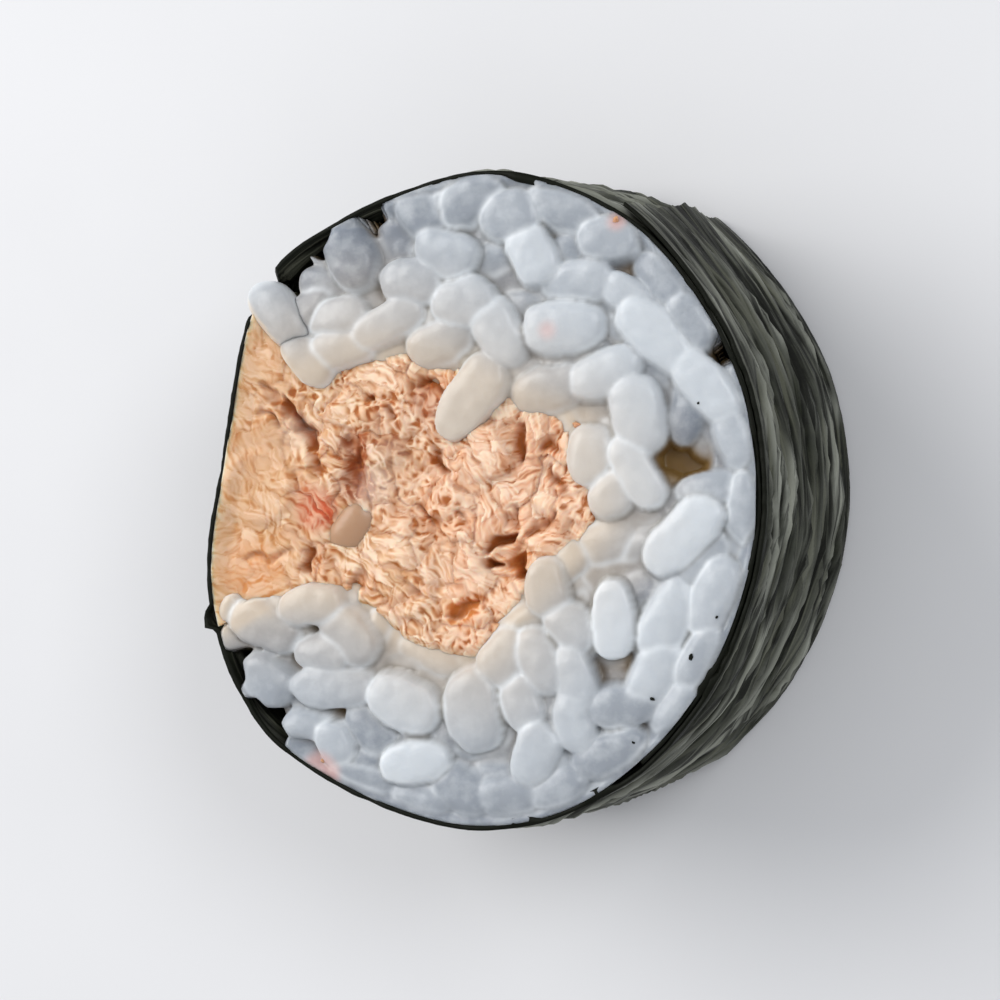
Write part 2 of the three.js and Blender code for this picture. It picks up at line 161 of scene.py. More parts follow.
# Grains that lie on the filling or stand out over the nori, as closed pieces of their own.
LOOSE_GRAINS = [(-16.1, 13.7, -48, 6.4, 3.3, 0.25, 0.4), (-10.5, -1.9, 48, 5.2, 3.2, -0.72, 0.2)]

# Holes between the grains of the upper cut: x, y, radius, depth.
UPPER_GAPS = [
    (15.6, 3.2, 2.0, 2.4), (10.5, -12.5, 1.8, 1.4), (-17.0, -16.6, 1.7, 3.4), (-19.3, -12.6, 1.0, 3.0),
    (-15.4, 17.3, 1.6, 3.4), (-13.0, 19.5, 1.0, 3.2), (-8.5, 20.9, 0.8, 3.0), (-14.2, -11.8, 0.9, 2.4),
    (-11.6, -16.6, 0.8, 2.0), (-17.1, -11.2, 0.7, 2.2), (-13.0, -9.6, 0.6, 2.0), (18.4, 10.9, 0.8, 1.8),
    (4.5, -8.7, 0.9, 1.5), (6.6, 19.2, 1.3, 0.8), (10.9, 17.0, 1.2, 0.8), (-8.9, 14.9, 1.3, 0.8),
    (3.8, 14.0, 0.9, 0.7), (10.2, 12.4, 1.1, 0.7), (7.4, -7.2, 1.0, 0.8), (-2.2, 8.8, 0.9, 0.9),
    (12.2, -16.8, 0.6, 1.0), (8.8, -16.3, 0.6, 0.9), (6.4, -17.7, 0.6, 1.0), (-6.6, -13.0, 1.2, 0.6),
]
GAP_EDGE = 0.9
GAP_RIM = 1.1

# The places of tints that only some places have: x, y, radius, strength.
RICE_TINTS = {
    "tuna_film": [(-10.5, -1.9, 4.0, 0.85)],
    "pink": [(10.7, 20.4, 0.6, 0.4), (5.5, 12.5, 0.6, 0.25), (-12.5, -20.3, 1.5, 0.35)],
}
TUNA_TINTS = {
    "red": [(-13.0, -0.7, 1.6, 0.8), (-13.7, 0.2, 1.1, 0.5)],
    # Saturated orange: the flesh's own colour at the lower left, and painted shade along creases and
    # pits at the others.
    "orange": [
        (-18.2, -5.4, 2.4, 0.5), (2.6, -4.4, 1.5, 0.6), (-2.6, 8.5, 1.3, 0.5), (-1.2, -8.3, 1.3, 0.5),
    ],
    # Brown in pits and creases: painted shade.
    "brown": [
        (-10.0, 1.2, 1.6, 0.9), (-10.0, 3.8, 1.5, 0.8), (-3.9, 7.4, 1.6, 0.6), (-7.4, 5.4, 1.8, 0.4),
    ],
    "grey": [(-14.8, 5.2, 1.3, 0.6), (-8.4, 1.1, 1.5, 0.6), (-7.0, 3.4, 1.2, 0.3)],
}

TINT_EDGE = {"rice": 1.0, "loose": 0.6, "tuna": 1.2}

FILLING = {"sunk": 0.85, "at_nori": 0.35, "least_sunk": 0.15, "lower_relief": 0.6}
UNDER_RICE = {"spread": 0.9, "slope": 0.7}  # how far and how steeply the filling runs on under it
FILLING_MIDDLE = np.array([-8.0, 0.5])
FLAKES = {"large": (3.0, 1.7), "small": (1.2, 2.2)}  # size, and how many times as long as wide
THREADS = {"long": (3.0, 0.36), "short": (1.8, 0.32)}  # length and width
CURL_SIZE = 0.6

# Creases and pits in the filling's upper end: from x, y to x, y, half width, depth.
CREASES = [
    (-15.6, 7.3, -13.2, 4.0, 0.5, 1.5), (-13.6, 4.0, -12.3, 1.8, 0.6, 0.7),
    (-17.8, 8.9, -15.8, 6.6, 0.3, 0.6), (-17.2, 6.8, -15.9, 5.6, 0.3, 0.6),
    (-5.2, 8.9, -2.6, 8.2, 0.45, 1.0), (-3.8, 3.5, -2.4, 1.8, 0.4, 0.9),
    (2.9, 5.6, 2.8, 3.0, 0.4, 0.9), (4.6, 4.2, 6.2, 4.0, 0.5, 0.7),
    (5.3, 2.6, 6.6, 0.4, 0.5, 0.7), (0.4, -3.4, 2.3, -2.3, 0.4, 1.5),
    (0.3, -4.3, 1.6, -4.9, 0.4, 1.5), (2.4, -4.0, 3.0, -5.5, 0.7, 1.7),
    (-10.2, 4.8, -9.7, 1.0, 0.6, 1.0), (-13.8, -3.5, -13.8, -5.3, 0.4, 0.9),
    (-19.0, -4.4, -15.0, -4.0, 0.3, 0.5), (-2.6, -8.6, -0.4, -7.4, 0.4, 1.0),
    (-5.0, -0.6, -3.4, -1.8, 0.3, 0.6), (-1.9, -0.7, -0.9, -1.6, 0.5, 0.5),
    (-9.4, -5.4, -10.2, -7.2, 0.4, 0.7), (-7.4, 7.4, -6.8, 6.0, 0.3, 0.7),
    (-6.0, -5.9, -3.6, -7.4, 0.3, 0.5), (2.2, -0.4, 2.6, -2.0, 0.35, 0.7),
    (3.4, -2.8, 6.2, -0.4, 0.3, 0.6), (-9.0, 7.9, -8.8, 7.3, 0.4, 0.8),
    (-11.3, -3.0, -9.5, -0.8, 1.2, 0.35),
]

# Where it is crumbly rather than fibrous: x, y, radius, how much.
CRUMBLY = [(-6.8, 4.6, 4.4, 1), (-3.2, -1.2, 2.8, 0.9), (-14.2, 2.6, 1.8, 0.8)]

# Broad folds that stand up in it: x, y, radius, height.
FOLDS = [
    (0.4, 3.6, 2.1, 0.7), (4.6, -1.6, 2.0, 0.4), (-0.9, -3.2, 2.0, 0.4), (-17.6, 1.0, 2.8, 0.3),
    (-6.2, -6.2, 2.6, 0.4), (-3.2, 0.4, 1.6, 0.4), (-8.0, 5.0, 2.4, 0.4), (-12.0, -2.4, 1.8, 0.2),
]

# Small bits that lie on the rice of the upper cut: x, y, size.
CRUMBS = {
    "tuna": [(10.6, 20.4, 0.26), (7.4, 5.6, 0.3), (-12.4, -19.5, 0.18)],
    "nori": [
        (16.4, -11.1, 0.2), (13.4, -14.2, 0.17), (12.0, -17.4, 0.1),
        (18.3, -8.2, 0.12), (16.9, 7.2, 0.1),
    ],
}
CRUMB_RINGS, CRUMB_SIDES = 10, 14
CRUMB_SHAPE = np.array([1.2, 0.8, 1])
CRUMB = {"flat": 0.45, "lumpy": 0.5, "tilt": 0.2}

# Where each lamp stands in metres, how wide it is, its power in watts and its tint.
LAMPS = {
    "window": ((-0.42, 0.22, 0.42), 0.5, 2.85, (1.0, 0.99, 0.97)),
    "fill": ((0.4, 0.25, 0.6), 0.3, 1.4, (0.96, 0.98, 1.0)),
}
ROOM_LIGHT = {"tint": (0.95, 0.97, 1.0, 1.0), "strength": 0.62}
FLOOR_HALF = 1.5

# The photograph is taken straight from above, and the piece lies left of its middle, so the piece
# is seen from its right: this far from a point near the middle of its upper cut.
CAMERA_FROM_TARGET = Vector((96.0, 6.0, 275.0))
CAMERA_TARGET = Vector((0.6, 0, CUT - 3.0))
SEEN_WIDTH = 74.0  # what the picture is wide at the target
SENSOR_WIDTH = 36

SEEDS = {"upper": 3, "lower": 8, "grain": 21, "filling": 34, "nori": 71, "crumbs": 90}

# ---- Noise ----

GRADIENTS = np.random.default_rng(1).normal(size=(256, 3))
GRADIENTS /= np.linalg.norm(GRADIENTS, axis=1)[:, None]
HASH_AXES = np.array([73856093, 19349663, 83492791])


def smooth(t):
    t = np.clip(t, 0, 1)
    return t * t * (3 - 2 * t)


def mix(a, b, t):
    return a + (b - a) * t


def noise(x, y, z, seed):
    """Gradient noise from about -1 to 1, which changes over a distance of about 1."""
    points = np.stack(np.broadcast_arrays(x, y, z), axis=-1)
    cell = np.floor(points).astype(np.int64)
    inside = points - cell
    fade = inside**3 * (inside * (inside * 6 - 15) + 10)
    total = np.zeros(points.shape[:-1])
    for corner in np.ndindex(2, 2, 2):
        mixed = (cell + corner) @ HASH_AXES + seed * 7919
        mixed = (mixed ^ (mixed >> 15)) * 2654435761
        gradient = GRADIENTS[(mixed >> 16) & 255]
        weight = np.prod(np.where(corner, fade, 1 - fade), axis=-1)
        total += weight * np.sum(gradient * (inside - corner), axis=-1)
    return total * 1.6


def flat_noise(x, y, size, seed):
    return noise(x / size, y / size, 0.37, seed)


def wavered(x, y, *waves):
    """The points moved about by noise: how far, over what distance, and the seeds for x and y."""
    wx, wy = x, y
    for far, size, x_seed, y_seed in waves:
        wx = wx + far * flat_noise(x, y, size, x_seed)
        wy = wy + far * flat_noise(x, y, size, y_seed)
    return wx, wy


def crests(wave, sharp, lowest=0):
    """Narrow crests, 1 high, along the lines where a noise crosses zero."""
    return np.clip(1 - sharp * np.abs(wave), lowest, 1)


def spots(x, y, places, soft):
    """The most that round places with soft edges add at each point: x, y, radius and how much."""
    total = np.zeros(x.shape)
    for spot_x, spot_y, radius, much in places:
        away = np.hypot(x - PHOTO_MIDDLE[0] - spot_x, y - PHOTO_MIDDLE[1] - spot_y)
        total = np.maximum(total, much * smooth((radius - away) / soft + 0.5))
    return total


# ---- Pieces ----

def add_object(name, data):
    made = bpy.data.objects.new(name, data)
    bpy.context.scene.collection.objects.link(made)
    return made


def build_piece(name, vertices, faces, material, slot, **layers):
    """A smooth mesh piece from millimetres, which rides on the body and stands for a CAD node."""
    mesh = bpy.data.meshes.new(name)
    mesh.from_pydata((np.asarray(vertices) * MM).tolist(), [], faces)
    for key, values in layers.items():
        attribute = mesh.attributes.new(key, "FLOAT", "POINT")
        attribute.data.foreach_set("value", np.asarray(values, np.float32))
    mesh.shade_smooth()
    mesh.materials.append(material)
    piece = add_object(name, mesh)
    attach(piece, "root")
    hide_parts(slot)
    return piece


def grid_faces(rows, columns, closed=False):
    """Quads over rows of points, one row after the other."""
    wide = columns if closed else columns - 1
    row, column = np.meshgrid(np.arange(rows - 1), np.arange(wide), indexing="ij")
    beside = (column + 1) % columns
    corners = [row * columns + column, row * columns + beside]
    corners += [(row + 1) * columns + beside, (row + 1) * columns + column]
    return np.stack(corners, axis=-1).reshape(-1, 4)


def ball_faces(rings, sides):
    """The faces of a closed shape made of rings of points."""
    ends = [list(range(sides))[::-1], list(range((rings - 1) * sides, rings * sides))]
    return grid_faces(rings, sides, closed=True).tolist() + ends


def tree_of(mesh):
    return BVHTree.FromPolygons([v.co for v in mesh.vertices], [p.vertices for p in mesh.polygons])


# ---- Outlines, measured on the frame ----

OUTLINE_STEPS = 720
NOTCH_STEPS = 10
EVENED_STEPS = 4
TURNS = np.arange(OUTLINE_STEPS) * 2 * math.pi / OUTLINE_STEPS


def reach_of(node, middle, height):
    """How far a CAD node's outside lies from a point inside it, at a height, in each direction."""
    tree = tree_of(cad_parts[node].data)
    start = 40.0
    reach = []
    for turn in TURNS:
        along = Vector((math.cos(turn), math.sin(turn), 0))
        origin = (Vector((*middle, height)) + along * start) * MM
        hit = tree.ray_cast(origin, -along)
        reach.append(start - hit[3] / MM if hit[0] else 0.0)
    return np.array(reach)


def turned(reach, steps):
    return [np.roll(reach, shift) for shift in range(-steps, steps + 1)]


def evened(reach):
    """An outline with its narrow notches closed, then averaged over a few steps each way."""
    for pick in (np.maximum, np.minimum):
        reach = pick.reduce(turned(reach, NOTCH_STEPS))
    return np.mean(turned(reach, EVENED_STEPS), axis=0)


def at_turn(reach, turn):
    return np.interp(turn, TURNS, reach, period=2 * math.pi)


HALF_WAY = CUT / 2
filling_reach = reach_of("tuna", FILLING_MIDDLE, HALF_WAY) + CAD_GAP / 2
wrapped_reach = np.maximum(reach_of("rice", (0, 0), HALF_WAY), reach_of("tuna", (0, 0), HALF_WAY))
roll_reach = evened(wrapped_reach) + CAD_GAP + CAD_NORI  # round one layer of nori
room_reach = roll_reach - NORI["thickness"]  # what is left inside it


def room_left(x, y, reach, middle=(0, 0)):
    """How far each point is inside an outline."""
    dx, dy = x - middle[0], y - middle[1]
    return at_turn(reach, np.arctan2(dy, dx)) - np.hypot(dx, dy)


def reach_to_nori(reach):
    """The filling's outline, let out as far as the nori where it comes near it."""
    for _ in range(4):
        x = FILLING_MIDDLE[0] + np.cos(TURNS) * reach
        y = FILLING_MIDDLE[1] + np.sin(TURNS) * reach
        gap = room_left(x, y, room_reach)
        reach = reach + gap * smooth((1.2 - gap) / 0.6)
    return reach


filling_reach = reach_to_nori(filling_reach)


def spread_out(reach):
    """The filling's outline where it runs a little under the rice, but not into the nori."""
    x = FILLING_MIDDLE[0] + np.cos(TURNS) * reach
    y = FILLING_MIDDLE[1] + np.sin(TURNS) * reach
    return reach + UNDER_RICE["spread"] * smooth(room_left(x, y, room_reach) / 1.5 - 0.3)


spread_reach = spread_out(filling_reach)


# ---- Cut ends: reliefs over a square grid ----

def square_grid(step):
    across = np.arange(-GRID_REACH, GRID_REACH, step)
    return np.meshgrid(across, across, indexing="ij")


def blurred(values, rounds):
    """The values of a grid, averaged over 3 by 3 points a few times."""
    rows, columns = values.shape
    for _ in range(rounds):
        padded = np.pad(values, 1, mode="edge")
        values = sum(padded[i : i + rows, j : j + columns] for i, j in np.ndindex(3, 3)) / 9
    return values


def bridged(heights, reach):
    """A grid of heights with its narrow creases filled: widened by some points, then narrowed."""
    rows, columns = heights.shape
    size = 2 * reach + 1
    middle = (reach, reach)
    shifts = [shift for shift in np.ndindex(size, size) if math.dist(shift, middle) <= reach + 0.3]
    for pick in (np.maximum, np.minimum):
        padded = np.pad(heights, reach, mode="edge")
        heights = pick.reduce([padded[i : i + rows, j : j + columns] for i, j in shifts])
    return heights


def joined(first, second, soft):
    """The higher of two heights, with the valley between them filled a little."""
    return np.maximum(first, second) + np.clip(1 - np.abs(first - second) / soft, 0, 1) ** 2 * soft / 4


def patch(x, y, reach, middle=(0, 0), left_out=None):
    """The cells of a square grid that reach into an outline, with their outer points pulled onto it."""
    inside = (room_left(x, y, reach, middle) > 0).ravel()
    cells = grid_faces(*x.shape)
    kept = inside[cells].any(axis=1)
    if left_out is not None:
        kept &= ~left_out.ravel()[cells].all(axis=1)
    used, cells = np.unique(cells[kept], return_inverse=True)
    dx, dy = x.ravel()[used] - middle[0], y.ravel()[used] - middle[1]
    out = np.hypot(dx, dy) + 1e-9
    share = np.minimum(out, at_turn(reach, np.arctan2(dy, dx))) / out
    return middle[0] + dx * share, middle[1] + dy * share, used, cells.reshape(-1, 4)


def borders(cells):
    """The closed borders of a patch of cells, the longest first."""
    edges = np.concatenate([cells[:, [i, (i + 1) % 4]] for i in range(4)])
    many = int(cells.max()) + 1
    after = dict(edges[~np.isin(edges @ (many, 1), edges @ (1, many))].tolist())
    loops = []
    while after:
        loop = [next(iter(after))]
        while loop[-1] in after:
            loop.append(after.pop(loop[-1]))
        loops.append(loop[:-1])
    return sorted(loops, key=len, reverse=True)


def closed_behind(points, cells, layers):
    """Closes a patch, with heights over the cut, by a wall that runs past the roll's middle."""
    rim, *holes = borders(cells)
    faces = cells.tolist() + [hole[::-1] for hole in holes]
    above = rim
    for drop in (WALL["below_cut"], CUT / 2 + WALL["past_middle"]):
        row = points[rim] * (WALL["drawn_in"], WALL["drawn_in"], 1)
        row[:, 2] = np.minimum(row[:, 2] - WALL["least_drop"], -drop)
        below = list(range(len(points), len(points) + len(rim)))
        points = np.concatenate([points, row])
        layers = {key: np.concatenate([values, values[rim]]) for key, values in layers.items()}
        faces += [[above[k], above[k - 1], below[k - 1], below[k]] for k in range(len(rim))]
        above = below
    return points, faces + [above[::-1]], layers


def in_place(points, faces, is_upper):
    """Turns heights over the cut into places on the roll: the lower end is upside down and flat."""
    if is_upper:
        return points + (0, 0, CUT), faces
    resting = np.column_stack([points[:, :2], np.maximum(-points[:, 2], 0)])
    return resting, [list(face)[::-1] for face in faces]


# ---- Materials ----

def colour(red, green, blue):
    """A colour given as it looks on a screen, from 0 to 255, as the shader's own values."""
    shares = np.array([red, green, blue]) / 255
    return (*np.where(shares <= 0.04045, shares / 12.92, ((shares + 0.055) / 1.055) ** 2.4), 1.0)


class Finish:
    """A material with a Principled shader, and short ways to add the nodes that feed it."""

    def __init__(self, name, **sockets):
        self.material = bpy.data.materials.new(name)
        self.material.use_nodes = True
        self.tree = self.material.node_tree
        self.shader = self.tree.nodes["Principled BSDF"]
        for socket, value in sockets.items():
            self.shader.inputs[socket.replace("_", " ")].default_value = value

    def add(self, kind, inputs=(), **settings):
        made = self.tree.nodes.new(kind)
        for key, value in settings.items():
            setattr(made, key, value)
        for socket, value in dict(inputs).items():
            self.feed(made.inputs[socket], value)
        return made

    def feed(self, socket, value):
        if isinstance(value, bpy.types.NodeSocket):
            self.tree.links.new(value, socket)
        else:
            socket.default_value = value

    def layer(self, name):
        return self.add("ShaderNodeAttribute", attribute_name=name).outputs["Fac"]

    def grain_noise(self, size, detail=3.0, roughness=0.55):
        """Noise over the object's own place, with features about size millimetres wide."""
        place = self.add("ShaderNodeTexCoord").outputs["Object"]
        inputs = {"Vector": place, "Scale": 1 / (size * MM), "Detail": detail, "Roughness": roughness}
        return self.add("ShaderNodeTexNoise", inputs).outputs["Fac"]

    def streaks(self, long, thin):
        """Noise drawn out along the wall: about long millimetres round it and thin ones up it."""
        place = self.add("ShaderNodeTexCoord").outputs["Object"]
        scale = (1 / (long * MM), 1 / (long * MM), 1 / (thin * MM))
        drawn = self.add("ShaderNodeMapping", {"Vector": place, "Scale": scale}).outputs["Vector"]
        inputs = {"Vector": drawn, "Scale": 1.0, "Detail": 3.0, "Roughness": 0.6, "Distortion": 0.4}
        return self.add("ShaderNodeTexNoise", inputs).outputs["Fac"]

    def ramp(self, factor, low, high, most=1.0):
        """The factor stretched so that low becomes 0 and high becomes most."""
        inputs = {"Value": factor, "From Min": low, "From Max": high, "To Max": most}
        return self.add("ShaderNodeMapRange", inputs, clamp=True).outputs["Result"]

    def blend(self, factor, first, second):
        made = self.add("ShaderNodeMix", data_type="RGBA", clamp_factor=True)
        self.feed(made.inputs[0], factor)
        self.feed(made.inputs[6], first)
        self.feed(made.inputs[7], second)
        return made.outputs[2]

    def painted(self, body, layers):
        """The body with the colour of each layer laid over it in turn."""
        for name, paint in layers.items():
            body = self.blend(self.layer(name), body, colour(*paint))
        return body

    def bumps(self, *waves):
        """Fine relief, the first wave under the next: its noise, its height and its strength."""
        inputs = {}
        for wave, distance, strength in waves:
            inputs |= {"Height": wave, "Distance": distance * MM, "Strength": strength}
            inputs["Normal"] = self.add("ShaderNodeBump", inputs).outputs["Normal"]
        self.set("Normal", inputs["Normal"])

    def set(self, socket, value):
        self.feed(self.shader.inputs[socket], value)


def rice_finish():
    finish = Finish(
        "rice_finish",
        Roughness=0.36,
        Subsurface_Weight=0.85,
        Subsurface_Radius=(1.0, 0.95, 0.9),
        Subsurface_Scale=0.9 * MM,
        Specular_IOR_Level=0.4,
        Coat_Weight=0.12,
        Coat_Roughness=0.15,
    )
    body = finish.blend(finish.layer("white"), colour(114, 121, 132), colour(202, 207, 212))
    cloudy = finish.ramp(finish.grain_noise(1.3), 0.42, 0.66, 0.28)
    body = finish.blend(cloudy, body, colour(204, 208, 211))
    layers = {
        # Laid over in turn: the filling's tint, a painted shade on the lower side of each seam, a
        # painted highlight along its higher side, a painted brown shade deep between the grains, a
        # painted dark shade deep near the nori, and the filling's film and pink specks.
        "warm": (208, 191, 170),
        "seam_shade": (118, 112, 98),
        "outline": (234, 238, 241),
        "depth": (150, 120, 72),
        "shade": (24, 25, 18),
        "tuna_film": (174, 132, 98),
        "pink": (236, 160, 140),
    }
    finish.set("Base Color", finish.painted(body, layers))
    finish.bumps((finish.grain_noise(0.4), 0.03, 0.5), (finish.grain_noise(1.1), 0.08, 0.6))
    return finish.material


def tuna_finish():
    finish = Finish(
        "tuna_finish",
        Roughness=0.6,
        Subsurface_Weight=0.85,
        Subsurface_Radius=(1.0, 0.65, 0.45),
        Subsurface_Scale=0.9 * MM,
        Specular_IOR_Level=0.2,
    )
    flesh = finish.blend(finish.layer("tone"), colour(200, 150, 100), colour(226, 176, 142))
    patchy = finish.ramp(finish.grain_noise(2.5), 0.4, 0.65, 0.5)
    flesh = finish.blend(patchy, flesh, colour(212, 168, 130))
    layers = {
        # Pale crests, partly the cream's own colour and partly painted highlight, and painted shade in
        # the hollows, pits and creases.
        "crest": (238, 214, 190),
        "hollow": (170, 98, 48),
        "red": (204, 88, 58),
        "orange": (214, 136, 70),
        "brown": (150, 78, 48),
        "grey": (200, 180, 166),
    }
    finish.set("Base Color", finish.painted(flesh, layers))
    finish.bumps((finish.grain_noise(0.3), 0.05, 0.6), (finish.grain_noise(0.9), 0.08, 0.5))
    return finish.material


def nori_finish():
    finish = Finish("nori_finish", Roughness=0.55, Specular_IOR_Level=0.1)
    patches = finish.ramp(finish.grain_noise(1.6, 4.0, 0.65), 0.35, 0.7)
    sheet = finish.blend(patches, colour(10, 12, 7), colour(36, 39, 28))
    thin = finish.streaks(12.0, 0.6)
    # A painted highlight along the ridges, then pale streaks of painted highlight and near-black
    # streaks of painted shade, where the streak bumps rise and fall.
    body = finish.painted(sheet, {"ridge": (148, 150, 140)})
    body = finish.blend(finish.ramp(thin, 0.5, 0.66, 0.45), body, colour(120, 121, 106))
    body = finish.blend(finish.ramp(thin, 0.47, 0.38, 0.8), body, colour(6, 7, 4))
    finish.set("Base Color", finish.painted(body, {"edge": (16, 18, 11)}))
    finish.bumps((finish.grain_noise(0.25, 4.0), 0.06, 0.8), (thin, 0.3, 0.8))
    return finish.material


def floor_finish():
    finish = Finish("floor_finish", Roughness=0.6, Specular_IOR_Level=0.3)
    faint = finish.ramp(finish.grain_noise(40.0), 0.3, 0.7)
    finish.set("Base Color", finish.blend(faint, colour(217, 217, 219), colour(221, 221, 223)))
    return finish.material


# ---- Rice ----

def grain_at(random, x, y, turn, length, width, proud, tilt_most=0.14):
    """A grain at a place, whose top stands proud of the cut by so much."""
    grain = {"x": x, "y": y, "turn": turn, "length": length, "width": width}
    grain["thickness"] = width * GRAIN["flatness"]
    grain["tilt"] = random.uniform(-tilt_most, tilt_most)
    for key, most in GRAIN_VARIES.items():
        grain[key] = random.uniform(-most, most)
    grain["white"] = random.uniform(*GRAIN_WHITE)
    grain["half_height"] = np.abs(spine(grain)[:, 2]).max() + grain["thickness"] / 2
    grain["z"] = proud - grain["half_height"]
    return grain


def turning(grain):
    """The matrix that rolls a grain about X, tilts it out of the XY plane and turns it about Z."""
    cr, sr = math.cos(grain["roll"]), math.sin(grain["roll"])
    ct, st = math.cos(grain["tilt"]), math.sin(grain["tilt"])
    cz, sz = math.cos(grain["turn"]), math.sin(grain["turn"])
    rolled = np.array([[1, 0, 0], [0, cr, -sr], [0, sr, cr]])
    tilted = np.array([[ct, 0, -st], [0, 1, 0], [st, 0, ct]])
    return np.array([[cz, -sz, 0], [sz, cz, 0], [0, 0, 1]]) @ tilted @ rolled


def grain_field(grain, points):
    """Below zero inside a grain, along its own axes: a blunt oval with a slight bend and taper."""
    s = 2 * points[:, 0] / grain["length"]
    full = 1 + grain["taper"] * np.clip(s, -1, 1)
    across = np.abs(points[:, 1] - grain["bend"] * (1 - s**2)) * 2 / (grain["width"] * full)
    up = np.abs(points[:, 2]) * 2 / (grain["thickness"] * full)
    power = GRAIN["squareness"]
    end, body = GRAIN["end"], GRAIN["body"]
    return np.abs(s) ** end + (across**power + up**power) ** (body / power) - 1


def grain_top(grain, x, y):
    """The height of a grain's upper side at each point, and far down where it doesn't reach."""
    to_own = turning(grain)
    start = np.column_stack([x - grain["x"], y - grain["y"], np.zeros(len(x))]) @ to_own

    def is_in(height):
        return grain_field(grain, start + height[:, None] * to_own[2]) < 0

    top = np.full(len(x), np.nan)
    levels, gap = np.linspace(-grain["half_height"], grain["half_height"], GRAIN_LEVELS, retstep=True)
    for level in levels:
        top = np.where(is_in(np.full(len(x), level)), level, top)
    for _ in range(GRAIN_STEPS):
        gap /= 2
        top = np.where(is_in(top + gap), top + gap, top)
    return np.where(np.isnan(top), FAR_DOWN, grain["z"] + top)


def spine(grain):
    """Points down the middle of a grain, as x, y and height over its middle."""
    reach = (grain["length"] - grain["width"]) / 2
    shares = np.linspace(-1, 1, 5)
    flat = math.cos(grain["tilt"]) * reach * shares
    x = grain["x"] + math.cos(grain["turn"]) * flat
    y = grain["y"] + math.sin(grain["turn"]) * flat
    return np.column_stack([x, y, math.sin(grain["tilt"]) * reach * shares])


def crowd(grain, placed):
    """How much a grain lies across the ones near it and across the borders of the rice."""
    x, y, _ = spine(grain).T
    total = CROWDED["nori"] * np.sum(room_left(x, y, room_reach) < grain["width"] * 0.4)
    total += CROWDED["filling"] * np.sum(room_left(x, y, filling_reach, FILLING_MIDDLE) > -0.6)
    for other in placed:
        if math.hypot(other["x"] - grain["x"], other["y"] - grain["y"]) < GRAIN["length"]:
            other_x, other_y, _ = spine(other).T
            gap = np.hypot(x[:, None] - other_x, y[:, None] - other_y)
            total += np.maximum(0, (grain["width"] + other["width"]) / 2 - gap).sum()
    return total


def scatter(random, count, tries, proud, spacing, gaps=()):
    """Grains at seeded places in the rice, each turned so that it lies across the others least."""
    added = []
    deep = [gap for gap in gaps if gap[3] > DEEP_GAP]
    for _ in range(tries):
        if len(added) == count:
            break
        place = random.uniform(-GRID_REACH, GRID_REACH, 2)
        in_rice = room_left(*place, room_reach) > 1.2
        if not in_rice or room_left(*place, filling_reach, FILLING_MIDDLE) > -0.4:
            continue
        if any(math.dist((g["x"], g["y"]), place) < spacing for g in added):
            continue
        if any(math.dist((gx, gy), place) < radius + GAP_KEPT_FREE for gx, gy, radius, _ in deep):
            continue
        length = GRAIN["length"] * random.uniform(0.88, 1.12)
        width = GRAIN["width"] * random.uniform(0.9, 1.12)
        grain = grain_at(random, *place, 0, length, width, random.uniform(*proud), 0.35)
        ways = [dict(grain, turn=turn) for turn in np.linspace(0, math.pi, 10)[:-1]]
        grain = min(ways, key=lambda way: crowd(way, added))
        if crowd(grain, []) < CROWDED["filling"]:
            added.append(grain)
    return added


def grains_shown(random, listed):
    for x, y, turn, length, width, proud, white in listed:
        place = PHOTO_MIDDLE + (x, y)
        grain = grain_at(random, *place, math.radians(turn), length, width * SHOWN_WIDER, proud)
        yield dict(grain, white=white)


def upper_grains():
    random = np.random.default_rng(SEEDS["upper"])
    grains = list(grains_shown(random, UPPER_GRAINS))
    for fill in UPPER_FILL:
        grains += scatter(random, *fill, UPPER_GAPS)
    return grains


def lower_grains():
    random = np.random.default_rng(SEEDS["lower"])
    return [grain for fill in LOWER_FILL for grain in scatter(random, *fill)]


def pressed(height):
    """Heights over a level, drawn together."""
    over = np.maximum(height - PRESSED["from"], 0) / PRESSED["soft"]
    drawn_together = PRESSED["soft"] * (1 - np.exp(-over))
    return np.minimum(height, PRESSED["from"]) + drawn_together + PRESSED["raised"]


def warmth(x, y):
    """How much the rice at each point has taken on the colour of the filling next to it."""
    beside = room_left(x, y, filling_reach, FILLING_MIDDLE)
    return sum(share * smooth((beside + far) / over) for share, far, over in WARMTH)


def starch_height(grains_height, x, y, step, is_upper):
    """The height over the cut of the starch between the grains."""
    filled = blurred(bridged(grains_height, round(STARCH["bridge"] / step)), 2)
    height = filled - STARCH["sunk"] - 0.1 * flat_noise(x, y, 1.2, SEEDS["grain"] + 6)
    uneven = 0.5 * flat_noise(x, y, 1.6, SEEDS["grain"] + 8)
    inwards = room_left(x, y, filling_reach, FILLING_MIDDLE) + uneven
    at_rim = smooth(1 - room_left(x, y, room_reach) / 1.3) * smooth(-inwards / 1.5)
    height = mix(np.maximum(height, -STARCH["lowest"]), np.maximum(height, -STARCH["rim"]), at_rim)
    if is_upper:
        height -= spots(x, y, UPPER_GAPS, GAP_EDGE)
    in_filling = smooth(inwards / 1.2)
    return np.maximum(mix(height, -STARCH["deepest"], in_filling), -STARCH["deepest"])


